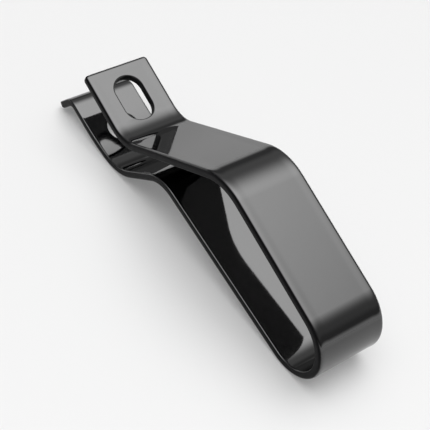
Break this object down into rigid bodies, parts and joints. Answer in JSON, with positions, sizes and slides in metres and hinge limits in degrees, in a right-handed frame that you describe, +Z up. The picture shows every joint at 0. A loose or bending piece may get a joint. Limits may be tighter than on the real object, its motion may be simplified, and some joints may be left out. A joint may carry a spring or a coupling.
{
  "type": "cable clip",
  "caption": "Cable clip bent from a steel strip with a gloss black coat: a long round-nosed loop holds the bundle, and a slotted lug over a holed lug takes the screw.",
  "frame": {"origin": "on the ground, under the middle of the clip's box as it lies at rest on its knee and its nose", "axes": "+Z up, +X along the clip from its lugs towards the loop's nose, +Y across the strip"},
  "size_m": [0.0874, 0.015, 0.026],
  "materials": {
    "coated_steel": "smooth gloss black enamel over steel"
  },
  "bodies": {
    "root": {"cable_clip": "coated_steel"}
  },
  "joints": []
}
